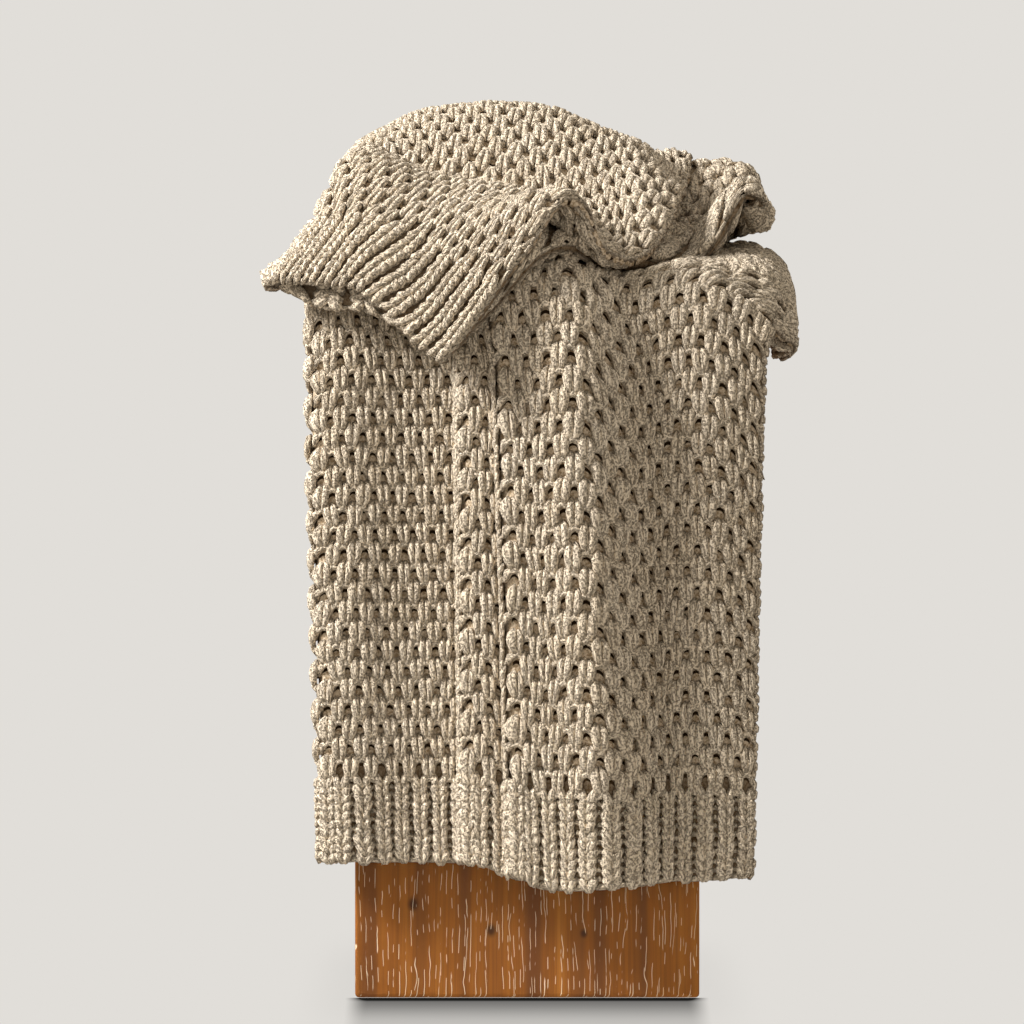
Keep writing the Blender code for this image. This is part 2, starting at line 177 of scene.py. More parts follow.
def knot_slopes(slope: np.ndarray) -> np.ndarray:
    """Slopes at the knots, on the last axis, from the slopes between them.

    Args:
        slope: the slope of each stretch between two knots.

    Returns:
        The harmonic mean of the two sides' slopes, 0 where they differ in sign, and the end ones as given.
    """
    product, total = slope[..., :-1] * slope[..., 1:], slope[..., :-1] + slope[..., 1:]
    safe = np.where(np.abs(total) < 1e-9, 1.0, total)
    inner = np.where(product > 0, 2 * product / safe, 0.0)
    return np.concatenate((slope[..., :1], inner, slope[..., -1:]), axis=-1)


def cubic(q: np.ndarray, h: np.ndarray, low: tuple, high: tuple) -> np.ndarray:
    """Cubic between two knots.

    Args:
        q: share of the stretch that is passed.
        h: the stretch's length.
        low: value and slope at its start.
        high: value and slope at its end.

    Returns:
        The value there: each value and slope times its own cubic of q.
    """
    return ((2 * q**3 - 3 * q**2 + 1) * low[0] + (q**3 - 2 * q**2 + q) * h * low[1]
            + (3 * q**2 - 2 * q**3) * high[0] + (q**3 - q**2) * h * high[1])


def spline(knots: np.ndarray, values: np.ndarray, at: np.ndarray) -> np.ndarray:
    """Curve through the values at the knots that never swings past them.

    Args:
        knots: rising places of the values.
        values: one value, or one row of values, for each knot.
        at: the places to read the curve at, of any shape.

    Returns:
        The curve there, a cubic between each two knots.
    """
    knots, values, at = (np.asarray(a, float) for a in (knots, values, at))
    flat = at.ravel()
    i = np.clip(np.searchsorted(knots, flat, side="right") - 1, 0, len(knots) - 2)
    rows = values.reshape(len(knots), -1)
    step = np.diff(knots)[:, None]
    tangent = knot_slopes((np.diff(rows, axis=0) / step).T).T
    h = step[i]
    q = np.clip((flat - knots[i]) / h[:, 0], 0, 1)[:, None]
    curve = cubic(q, h, (rows[i], tangent[i]), (rows[i + 1], tangent[i + 1]))
    return curve.reshape(at.shape + values.shape[1:])


def smooth(q: np.ndarray) -> np.ndarray:
    """Soft step from 0 to 1 as q goes from 0 to 1."""
    q = np.clip(q, 0, 1)
    return q * q * (3 - 2 * q)


class Face(Enum):
    """The two faces of the knit."""

    RIGHT = 1
    WRONG = -1


@dataclass
class ThrowShape:
    """The folded and draped middle surface of the throw, from the tables of sections and folds."""

    # From one layer to the next, and how softly a layer comes down off the edge of the one under it.
    pitch: float = 7.6
    settle: float = 48.0
    # Half the spans over which the lowest layer's direction is read, across and along.
    away_x: float = 26.0
    away_s: float = 18.0
    # The share of the length over which the front hem's own curve dies out.
    hem_fade: float = 0.2
    # How far before the edge the upright swells begin to flatten, and over what length.
    swell_end: float = 70.0
    swell_fade: float = 90.0
    # The arch in the flap's free edge, at its highest a little past the brow.
    arch_lift: float = 37.0
    arch_past: float = 12.0
    arch_fall: float = 21.0
    arch_rise: float = 26.0
    arch_reach: float = 84.0
    # The lip of the free edge over the hollow beside the heap.
    lip_lift: float = 24.0
    lip_start: float = 25.0
    lip_fade: float = 60.0
    lip_reach: float = 52.0
    # The crown of the heap.
    crown_lift: float = 8.0
    crown_start: float = -50.0
    crown_rise: float = 60.0
    crown_fall: float = 70.0
    crown_x: float = -22.0
    crown_width: float = 58.0
    # The sag of the flap's left tip: past which y and x it starts, and over what lengths.
    tip_sag: float = 16.0
    tip_corner: tuple[float, float] = (-125.0, -130.0)
    tip_fade: tuple[float, float] = (90.0, 70.0)
    # The bend of the right margin over the pedestal's side.
    droop_start: float = 200.0
    droop_radius: float = 30.0
    droop_turn: float = 1.95

    def __post_init__(self) -> None:
        """Read the tables into arrays."""
        self.names = [row[0] for row in SECTIONS]
        self.depth = np.array([(row[1], row[2]) for row in SECTIONS], float)
        self.height = np.array([row[3] for row in SECTIONS], float)
        self.turned = np.array([row[4] for row in SECTIONS], float)
        self.droop = np.array([row[5] for row in SECTIONS], float)
        self.fold_across = np.array([row[1] for row in FOLDS], float)
        self.fold_hem = np.array([row[2] for row in FOLDS], float)
        self.fold_x = np.array([row[3] for row in FOLDS], float).T
        y, z = self.depth.mean(axis=1), self.height[:, 2:4].mean(axis=1)
        self.travel = np.concatenate(([0.0], np.cumsum(np.hypot(np.diff(y), np.diff(z)))))
        self.fold_travel = self.travel[[self.names.index(name) for name in FOLD_AT]]
        self.far = self.section("flap_hem")
        self.length = float(self.travel[-1])
        self.width = float(self.fold_across[-1])

    def section(self, name: str) -> float:
        """Distance along the cloth to the named section."""
        return float(self.travel[self.names.index(name)])

    def ground(self, x: np.ndarray, s: np.ndarray) -> tuple[np.ndarray, np.ndarray]:
        """The lowest layer's y and z at x and the distance s along the cloth.

        Args:
            x: places from left to right.
            s: distances along the cloth, of the same shape.

        Returns:
            y, a mean of the two sides' depths by x, and z, a curve through the heights both ways.
        """
        share = (np.clip(x, -230, 230) + 220) / 440
        depth = spline(self.travel, self.depth, s)
        y = depth[..., 0] * (1 - share) + depth[..., 1] * share
        rows = spline(SECTION_X, self.height.T, np.clip(x, -220, 225))
        step = np.diff(self.travel)
        tangent = knot_slopes(np.diff(rows, axis=-1) / step)
        k = np.clip(np.searchsorted(self.travel, s, side="right") - 1, 0, len(step) - 1)

        def knot(at: np.ndarray) -> tuple[np.ndarray, np.ndarray]:
            """The height and slope of each point's row at its knot."""
            at = at[..., None]
            return tuple(np.take_along_axis(table, at, -1)[..., 0] for table in (rows, tangent))

        return y, cubic((s - self.travel[k]) / step[k], step[k], knot(k), knot(k + 1))

    def away(self, x: np.ndarray, s: np.ndarray) -> tuple[np.ndarray, np.ndarray, np.ndarray]:
        """Unit direction square to the lowest layer round about x and s, away from the pedestal."""
        left, right = self.ground(x - self.away_x, s), self.ground(x + self.away_x, s)
        before = self.ground(x, np.maximum(s - self.away_s, 0))
        after = self.ground(x, np.minimum(s + self.away_s, self.length))
        y_x, z_x = (right[0] - left[0]) / (2 * self.away_x), (right[1] - left[1]) / (2 * self.away_x)
        y_s, z_s = after[0] - before[0], after[1] - before[1]
        run = np.hypot(y_s, z_s)
        y_s, z_s = y_s / run, z_s / run
        nx, ny, nz = y_x * z_s - z_x * y_s, -z_s, y_s
        size = np.sqrt(nx**2 + ny**2 + nz**2)
        return nx / size, ny / size, nz / size

    def stack(self, x: np.ndarray, s: np.ndarray, lines: np.ndarray) -> np.ndarray:
        """Distance of each of the six layers from the lowest one at x, s.

        Args:
            x: places from left to right.
            s: distances along the cloth.
            lines: x of the seven folds there, on the last axis.

        Returns:
            Six distances for each place: each layer adds one pitch where the one under it is present.
        """
        turned = spline(self.travel, self.turned, s)
        rise = np.zeros(x.shape + (6,))
        for k in range(1, 6):
            low = np.minimum(lines[..., k - 1], lines[..., k])
            high = np.maximum(lines[..., k - 1], lines[..., k])
            present = 1 - smooth(np.maximum(low - x, x - high) / self.settle)
            rise[..., k] = rise[..., k - 1] + self.pitch * (
                present * (1 - np.minimum(turned, 1)) + turned)
        return rise

    def across_cloth(self, w: np.ndarray) -> np.ndarray:
        """Distance across the cloth for w from 0 to 11, whose whole steps are layers and folds by turns."""
        arc = np.pi * self.pitch / 4
        inner = self.fold_across[1:-1]
        at = np.stack((inner - arc, inner + arc), axis=1).ravel()
        return np.interp(w, np.arange(12), np.concatenate(([0.0], at, [self.width])))

    def middle(self, w: np.ndarray, v: np.ndarray) -> np.ndarray:
        """Points of the middle surface.

        Args:
            w: place across the cloth, 0 to 11, whole steps being layers and folds by turns.
            v: place along it, 0 at the front hem and 1 at the far one.

        Returns:
            The points: on a layer x goes straight from fold to fold and the point lies on the ground
            plus its layer's rise, and round a fold it follows half a circle to the next layer.
        """
        w, v = np.broadcast_arrays(np.asarray(w, float), np.asarray(v, float))
        across = self.across_cloth(w)
        start = spline(self.fold_across, self.fold_hem, across) - self.height[0, 0]
        for centre, reach, up in HEM_CURVES:
            start = start + up * np.exp(-((across - centre) / reach) ** 2)
        beyond = spline([row[0] for row in FAR_HEM], [row[1] for row in FAR_HEM], across)
        half = self.section("deck_front") / self.far
        past_half = np.maximum((v - half) / (1 - half), 0)
        s = self.far * v + start * (1 - smooth(v / self.hem_fade)) + beyond * past_half
        s = np.clip(s, -20, self.length)
        lines = spline(self.fold_travel, self.fold_x, s)
        run = np.clip(np.floor(w / 2).astype(int), 0, 5)
        q = w - 2 * run
        side = np.where(run % 2 == 0, -1.0, 1.0)
        a = np.take_along_axis(lines, run[..., None], -1)[..., 0]
        b = np.take_along_axis(lines, run[..., None] + 1, -1)[..., 0]
        r = self.pitch / 2
        first = a + np.where(run > 0, side * r, 0)
        last = b - np.where(run < 5, side * r, 0)
        x = np.where(q <= 1, first + (last - first) * np.clip(q, 0, 1), last)
        rise = self.stack(x, s, lines)
        here = np.take_along_axis(rise, run[..., None], -1)[..., 0]
        above = np.take_along_axis(rise, np.clip(run + 1, 0, 5)[..., None], -1)[..., 0]
        angle = np.clip(q - 1, 0, 1) * np.pi
        radius = (above - here) / 2
        out = np.where(q <= 1, here, here + radius * (1 - np.cos(angle)))
        x = np.where(q <= 1, x, x + side * radius * np.sin(angle))
        return self.place(x, s, out, across)

    def place(self, x: np.ndarray, s: np.ndarray, out: np.ndarray, across: np.ndarray) -> np.ndarray:
        """Point at x and s, out from the lowest layer, with the swells, arch and droop on.

        Args:
            x: places from left to right.
            s: distances along the cloth.
            out: distances from the lowest layer.
            across: distances across the cloth.

        Returns:
            The points: a swell is a bell curve in x, the arch one in both distances, the crown
            one in x, the lip of the free edge over the hollow and the sag of the flap's left tip are
            soft steps, and the droop bends what lies past its start round a radius.
        """
        on = np.clip(s, 0, self.length)
        y, z = self.ground(x, on)
        z = z + np.minimum(s, 0)
        nx, ny, nz = self.away(x, on)
        edge = self.section("edge")
        hang = 1 - smooth((s - edge + self.swell_end) / self.swell_fade)
        for _, x_hem, x_edge, width, stand in SWELLS:
            centre = x_hem + (x_edge - x_hem) * np.clip(s / edge, 0, 1)
            out = out + stand * hang * np.exp(-((x - centre) / width) ** 2)
        past_brow = s - self.section("brow") - self.arch_past
        bell = np.where(past_brow > 0, np.exp(-(past_brow / self.arch_fall) ** 2),
                        np.exp(-(past_brow / self.arch_rise) ** 4))
        lift = self.arch_lift * bell * np.exp(-(across / self.arch_reach) ** 2)
        after = s - self.section("turn_high")
        closed = smooth((s - self.section("crease")) / self.lip_fade)
        open_lip = smooth((after - self.lip_start) / self.lip_fade) * (1 - closed)
        lift = lift + self.lip_lift * open_lip * np.exp(-(across / self.lip_reach) ** 2)
        flat = smooth((s - self.section("dome")) / self.crown_fall)
        crown = smooth((after - self.crown_start) / self.crown_rise) * (1 - flat)
        lift = lift + self.crown_lift * crown * np.exp(-((x - self.crown_x) / self.crown_width) ** 2)
        tip = (smooth((self.tip_corner[1] - y) / self.tip_fade[1])
               * smooth((self.tip_corner[0] - x) / self.tip_fade[0]))
        lift = lift - self.tip_sag * tip * (s > self.section("turn_back"))
        x, y, z = x + nx * out, y + ny * out, z + nz * out + lift
        amount = spline(self.travel, self.droop, on)
        past = np.maximum(x - self.droop_start, 0)
        angle = np.minimum(past / self.droop_radius, self.droop_turn)
        rest = past - angle * self.droop_radius
        bent_x = self.droop_start + self.droop_radius * np.sin(angle) + rest * np.cos(angle)
        bent_z = -self.droop_radius * (1 - np.cos(angle)) - rest * np.sin(angle)
        x, z = (np.where(past > 0, x + amount * (bent_x - x), x),
                np.where(past > 0, z + amount * bent_z, z))
        return np.stack((x, y, z), axis=-1)


@dataclass
class Cloth:
    """The throw's middle surface read once on a fine grid, so that yarn can be laid anywhere on it.

    The cloth slides round its left fold towards the flap, so that the flap's face is narrower than the
    layer is at the front.
    """

    shape: ThrowShape
    step: float = 4.0
    # How far the cloth has slid at its far hem, and the share of its length where that starts and lasts.
    drawn_in: float = 92.0
    slide_start: float = 0.52
    slide_run: float = 0.45
    # A stitch's half width, its ease, and the least share of its width that it is squeezed to.
    reach: float = 5.0
    ease: float = 1.15
    squeeze: float = 0.42

    def __post_init__(self) -> None:
        """Read the points and their normals on the grid."""
        shape = self.shape
        self.width, self.length = shape.width, shape.far
        self.columns, self.rows = round(self.width / self.step), round(self.length / self.step)
        fine = np.linspace(0, 11, 4401)
        across = np.linspace(0, self.width, self.columns + 1)[:, None]
        v = np.linspace(0, 1, 2 * self.rows + 1)[None, :]
        fold = shape.fold_across[1]
        slid = fold - self.drawn_in * smooth((v - self.slide_start) / self.slide_run)
        even = np.where(across < slid, across * fold / slid,
                        fold + (across - slid) * (self.width - fold) / (self.width - slid))
        points = shape.middle(np.interp(even, shape.across_cloth(fine), fine), v)
        self.points = self.evened(points, v[0], shape.section("deck_front") / shape.far)
        normal = np.cross(np.gradient(self.points, axis=0), np.gradient(self.points, axis=1))
        self.normals = normal / np.linalg.norm(normal, axis=-1, keepdims=True)

    def evened(self, points: np.ndarray, v: np.ndarray, half: float) -> np.ndarray:
        """Spread the rows evenly by length along each line of points.

        Args:
            points: lines of points along the cloth.
            v: the place along the cloth of each point of a line.
            half: the place that stays where it is, besides both ends.

        Returns:
            The points at even lengths between the three fixed places.
        """
        step = np.linalg.norm(np.diff(points, axis=1), axis=-1)
        length = np.concatenate((np.zeros((len(points), 1)), np.cumsum(step, axis=1)), axis=1)
        want = np.linspace(0, 1, self.rows + 1)
        lines = []
        for line, run in zip(points, length):
            mid = np.interp(half, v, run)
            at = np.interp(np.interp(want, (0, half, 1), (0, mid, run[-1])), run, v)
            lines.append(np.stack([np.interp(at, v, line[:, k]) for k in range(3)], -1))
        return np.array(lines)

    def at(self, across: np.ndarray, along: np.ndarray, out: np.ndarray) -> np.ndarray:
        """Points on or off the cloth.

        Args:
            across: distance from the inner long edge.
            along: distance from the front hem.
            out: distance from the middle surface towards the right face.

        Returns:
            The grid's points and normals, each a mean of the four round the place by nearness.
        """
        a, b = across / self.width * self.columns, along / self.length * self.rows
        i = np.clip(np.floor(a).astype(int), 0, self.columns - 1)
        j = np.clip(np.floor(b).astype(int), 0, self.rows - 1)
        p, q = (a - i)[..., None], (b - j)[..., None]

        def mean(grid: np.ndarray) -> np.ndarray:
            """The grid's value at the place."""
            return ((1 - p) * ((1 - q) * grid[i, j] + q * grid[i, j + 1])
                    + p * ((1 - q) * grid[i + 1, j] + q * grid[i + 1, j + 1]))

        return mean(self.points) + mean(self.normals) * np.asarray(out)[..., None]

    def fit(self, places: np.ndarray, face: np.ndarray) -> np.ndarray:
        """How much narrower a stitch is made at each place, where the cloth's outer side is splayed.

        Args:
            places: across and along of each stitch.
            face: 1 or -1 for the face that it lies on.

        Returns:
            The cloth's width over the width just off it, never more than 1.
        """
        a, b = places[:, 0], places[:, 1]
        low, high = np.maximum(a - self.reach, 0), np.minimum(a + self.reach, self.width)
        off = self.at(high, b, face * self.reach) - self.at(low, b, face * self.reach)
        on = np.linalg.norm(self.at(high, b, face * 0.0) - self.at(low, b, face * 0.0), axis=-1)
        share = self.ease * np.maximum(on, 6.0) / np.linalg.norm(off, axis=-1)
        return np.clip(share, self.squeeze, 1.0)


@dataclass
class Mesh:
    """Points, four-cornered faces, and what they carry for the finishes."""

    points: np.ndarray
    faces: np.ndarray
    uv: np.ndarray | None = None
    depth: np.ndarray | None = None
    tint: np.ndarray | None = None

    def build(self, name: str, finish: bpy.types.Material) -> bpy.types.Object:
        """Make the object.

        Args:
            name: the piece's name.
            finish: its material.

        Returns:
            The object, smooth shaded, at the origin.
        """
        mesh = bpy.data.meshes.new(name)
        count = len(self.faces)
        mesh.vertices.add(len(self.points))
        mesh.vertices.foreach_set("co", (self.points * MM).astype(np.float32).ravel())
        mesh.loops.add(4 * count)
        mesh.loops.foreach_set("vertex_index", self.faces.astype(np.int32).ravel())
        mesh.polygons.add(count)
        mesh.polygons.foreach_set("loop_start", np.arange(0, 4 * count, 4, dtype=np.int32))
        mesh.update(calc_edges=True)
        mesh.polygons.foreach_set("use_smooth", np.ones(count, bool))
        if self.uv is not None:
            layer = mesh.uv_layers.new(name="yarn")
            layer.data.foreach_set("uv", self.uv[self.faces.ravel()].astype(np.float32).ravel())
        for label, values in (("depth", self.depth), ("tint", self.tint)):
            if values is not None:
                attribute = mesh.attributes.new(label, "FLOAT", "POINT")
                attribute.data.foreach_set("value", values.astype(np.float32))
        mesh.validate()
        mesh.materials.append(finish)
        item = bpy.data.objects.new(name, mesh)
        bpy.context.scene.collection.objects.link(item)
        return item


@dataclass(frozen=True)
class Gauge:
    """Gauge of the knit: its stitch columns and rows, its two ribbed hems, and its first row past one."""

    column: float = 18.7
    row: float = 17.4
    hem: float = 78.0
    far_hem: float = 86.0
    first: float = 7.0
    rib_row: float = 7.5
    cord_pitch: float = 23.5
    chain: float = 8.7


def grid(across: np.ndarray, along: np.ndarray) -> np.ndarray:
    """Every place at the given distances across and along the cloth, one pair to a row."""
    a, b = np.meshgrid(across, along, indexing="ij")
    return np.stack((a.ravel(), b.ravel()), -1)


@dataclass(frozen=True)
class GroundSheet:
    """The thin ground of the knit, which shows deep between the stitches."""

    cloth: Cloth
    gauge: Gauge
    half: float = 3.2
    coarse: float = 9.0
    # How far past a hem its painted shade in the valleys reaches, and how softly it ends.
    past_hem: float = 6.0
    fade: float = 12.0

    def mesh(self) -> Mesh:
        """A closed sheet: the middle surface moved half its thickness both ways, joined round its rim.

        Returns:
            The mesh, whose yarn coordinates count the stitches' columns and rows, and whose depth is 1
            on the body and 0 on the hems.
        """
        across = np.linspace(0, self.cloth.width, round(self.cloth.width / self.coarse) + 1)
        along = np.linspace(0, self.cloth.length, round(self.cloth.length / self.coarse) + 1)
        a, b = np.meshgrid(across, along, indexing="ij")
        m, n = a.shape
        front = self.cloth.at(a, b, np.full(a.shape, self.half)).reshape(-1, 3)
        back = self.cloth.at(a, b, np.full(a.shape, -self.half)).reshape(-1, 3)
        index = np.arange(m * n).reshape(m, n)
        top = np.stack((index[:-1, :-1], index[1:, :-1], index[1:, 1:], index[:-1, 1:]), -1).reshape(-1, 4)
        rim = np.concatenate((index[:, 0], index[-1, 1:], index[-2::-1, -1], index[0, -2:0:-1]))
        after = np.roll(rim, -1)
        wall = np.stack((after, rim, rim + m * n, after + m * n), -1)
        faces = np.concatenate((top, top[:, ::-1] + m * n, wall))
        gauge = self.gauge
        near, far = gauge.hem + self.past_hem, gauge.far_hem + self.past_hem
        body = smooth((b - near) / self.fade) * smooth((self.cloth.length - far - b) / self.fade)
        first = gauge.hem + gauge.first
        lattice = np.stack((a.ravel() / gauge.column, (b.ravel() - first) / gauge.row), -1)
        return Mesh(np.concatenate((front, back)), faces, np.tile(lattice, (2, 1)), np.tile(body.ravel(), 2))


@dataclass(frozen=True)
class Strand:
    """One short length of yarn: a tube with closed ends round a curve with two bends."""

    name: str
    start: tuple[float, float, float]
    first: tuple[float, float, float]
    second: tuple[float, float, float]
    end: tuple[float, float, float]
    radius: float
    rings: int
    sides: int = 6

    def mesh(self) -> tuple[np.ndarray, np.ndarray, np.ndarray]:
        """The tube's points, faces and yarn coordinates.

        Returns:
            Points on rings round the cubic curve of the four given points, faces between the rings and
            over both ends, and for each point how far along and how far round the yarn it is.
        """
        t = np.linspace(0, 1, self.rings)[:, None]
        p = np.array((self.start, self.first, self.second, self.end), float)
        centre = ((1 - t) ** 3 * p[0] + 3 * (1 - t) ** 2 * t * p[1] + 3 * (1 - t) * t**2 * p[2] + t**3 * p[3])
        run = (3 * (1 - t) ** 2 * (p[1] - p[0]) + 6 * (1 - t) * t * (p[2] - p[1]) + 3 * t**2 * (p[3] - p[2]))
        run /= np.linalg.norm(run, axis=1, keepdims=True)
        side = np.cross(run, (0.02, 0.03, 1.0))
        side /= np.linalg.norm(side, axis=1, keepdims=True)
        up = np.cross(side, run)
        angle = np.arange(self.sides) / self.sides * 2 * np.pi
        thick = self.radius * (0.62 + 0.40 * np.sin(np.pi * t[:, 0] ** 0.85) ** 0.6)
        ring = np.cos(angle)[None, :, None] * side[:, None, :] + np.sin(angle)[None, :, None] * up[:, None, :]
        points = centre[:, None, :] + ring * thick[:, None, None]
        length = np.linalg.norm(np.diff(centre, axis=0), axis=1).sum()
        u = np.repeat(t[:, 0] * length / (2 * self.radius), self.sides)
        uv = np.stack((u, np.tile(np.abs(angle - np.pi) / np.pi, self.rings)), -1)
        k = np.arange((self.rings - 1) * self.sides)
        beside = k - k % self.sides + (k + 1) % self.sides
        tube = np.stack((k, k + self.sides, beside + self.sides, beside), -1)
        last = (self.rings - 1) * self.sides
        caps = np.array(((0, 1, 2, 3), (0, 3, 4, 5)))
        faces = np.concatenate((tube, caps, caps[:, ::-1] + last))
        return points.reshape(-1, 3), faces, uv


@dataclass(frozen=True)
class Stitch:
    """A small group of strands that is laid on the cloth many times."""

    rows: tuple
    # How far its foot stands off the cloth's middle, and the height at which its painted shade no longer
    # darkens it.
    lift: float = 1.8
    height: float = 7.0
    # Spread from stitch to stitch of the size, of the place in millimetres, and of the lean.
    uneven: tuple[float, float, float] = (0.05, 0.5, 0.06)

    def template(self) -> tuple[np.ndarray, np.ndarray, np.ndarray]:
        """All the strands' points, faces and yarn coordinates together."""
        points, faces, uvs, count = [], [], [], 0
        for name, paired, *bends, radius, rings in self.rows:
            for side in (1, -1) if paired else (1,):
                p, f, uv = Strand(name, *((x * side, y, z) for x, y, z in bends), radius, rings).mesh()
                points.append(p)
                faces.append(f + count)
                uvs.append(uv)
                count += len(p)
        return np.concatenate(points), np.concatenate(faces), np.concatenate(uvs)

    def lay(self, cloth: Cloth, places: np.ndarray, face: np.ndarray, size: np.ndarray,
            rng: np.random.Generator) -> Mesh:
        """Lay the stitch at every place.

        Args:
            cloth: the surface to lay it on.
            places: across and along of each stitch.
            face: 1 or -1 for the right or wrong face of each.
            size: across, along and out scale of each, or of all.
            rng: source of the small unevenness from stitch to stitch.

        Returns:
            One joined mesh, whose points follow the cloth's bend.
        """
        points, faces, uv = self.template()
        n = len(places)
        sizes, moves, leans = self.uneven
        scale = np.broadcast_to(size, (n, 3)) * (1 + rng.normal(0, sizes, (n, 3)))
        scale[:, 0] *= cloth.fit(places, face)
        shift = places + rng.normal(0, moves, (n, 2))
        lean = rng.normal(0, leans, (n, 1))
        local = points[None] * scale[:, None, :]
        across = shift[:, None, 0] + local[..., 0] + lean * local[..., 1]
        along = shift[:, None, 1] + local[..., 1]
        out = (local[..., 2] + self.lift) * face[:, None]
        laid = cloth.at(across, along, out).reshape(-1, 3)
        step = np.arange(n)[:, None, None] * len(points)
        turned = np.where((face < 0)[:, None, None], faces[None, :, ::-1], faces[None]) + step
        # Depth sets the yarn's painted shade near the cloth.
        depth = np.clip(points[:, 2] / self.height, 0, 1)
        u = uv[None] + np.stack((rng.uniform(0, 9, n), np.zeros(n)), -1)[:, None, :]
        return Mesh(laid, turned.reshape(-1, 4), u.reshape(-1, 2), np.tile(depth, n),
                    np.repeat(rng.uniform(0, 1, n), len(points)))


@dataclass
class Sight:
    """Which places on the cloth can be seen from anywhere round the object, past what can hide them."""

    blockers: list[bpy.types.Object]
    reach: float = 2.0
    # The ways that are tried: each ring's height, in radians, and how many ways it has.
    rings: tuple = ((0.0, 12), (0.5, 12), (1.0, 6), (1.5, 1))
    grazing: float = 0.05

    def __post_init__(self) -> None:
        """Gather the blockers' faces and the ways."""
        points, faces = [], []
        for item in self.blockers:
            start = len(points)
            points.extend(v.co[:] for v in item.data.vertices)
            faces.extend([start + i for i in p.vertices] for p in item.data.polygons)
        self.tree = BVHTree.FromPolygons(points, faces)
        self.ways = [Vector((math.sin(a) * math.cos(e), -math.cos(a) * math.cos(e), math.sin(e)))
                     for e, turns in self.rings
                     for a in np.arange(turns) * 2 * math.pi / turns]

    def seen(self, points: np.ndarray, normals: np.ndarray) -> np.ndarray:
        """Whether each point is in sight.

        Args:
            points: places just clear of the cloth, in metres.
            normals: the way that the cloth faces there.

        Returns:
            True where at least one way out meets nothing.
        """
        found = [any(way.dot(n) > self.grazing and self.tree.ray_cast(p, way, self.reach)[0] is None
                     for way in self.ways)
                 for p, n in zip(map(Vector, points), map(Vector, normals))]
        return np.array(found, bool)


class Wire:
    """A shader value that takes part in sums: each operator adds one Math node."""

    def __init__(self, shader: "Shader", socket: bpy.types.NodeSocket) -> None:
        """Wrap a socket.

        Args:
            shader: the material's builder.
            socket: the output to wrap.
        """
        self.shader, self.socket = shader, socket

    def math(self, operation: str, *others: "Wire | float", first: bool = True) -> "Wire":
        """A Math node of this value and others.

        Args:
            operation: the node's operation.
            others: its other operands.
            first: whether this value comes first.

        Returns:
            The node's result.
        """
        operands = (self, *others) if first else (*others, self)
        return self.shader.node("ShaderNodeMath", {"operation": operation}, dict(enumerate(operands)))

    def __add__(self, other: "Wire | float") -> "Wire":
        """Sum."""
        return self.math("ADD", other)

    __radd__ = __add__

    def __sub__(self, other: "Wire | float") -> "Wire":
        """Difference."""
        return self.math("SUBTRACT", other)

    def __rsub__(self, other: float) -> "Wire":
        """Difference from a number."""
        return self.math("SUBTRACT", other, first=False)

    def __mul__(self, other: "Wire | float") -> "Wire":
        """Product."""
        return self.math("MULTIPLY", other)

    __rmul__ = __mul__

    def __pow__(self, other: "Wire | float") -> "Wire":
        """Power."""
        return self.math("POWER", other)

    def sin(self) -> "Wire":
        """Sine."""
        return self.math("SINE")

    def cos(self) -> "Wire":
        """Cosine."""
        return self.math("COSINE")

    def absolute(self) -> "Wire":
        """Size without its sign."""
        return self.math("ABSOLUTE")

    def step(self, low: float, high: float) -> "Wire":
        """Soft step from 0 at low to 1 at high."""
        return self.shader.node("ShaderNodeMapRange", {"interpolation_type": "SMOOTHSTEP"},
                                {"Value": self, "From Min": low, "From Max": high}, "Result")


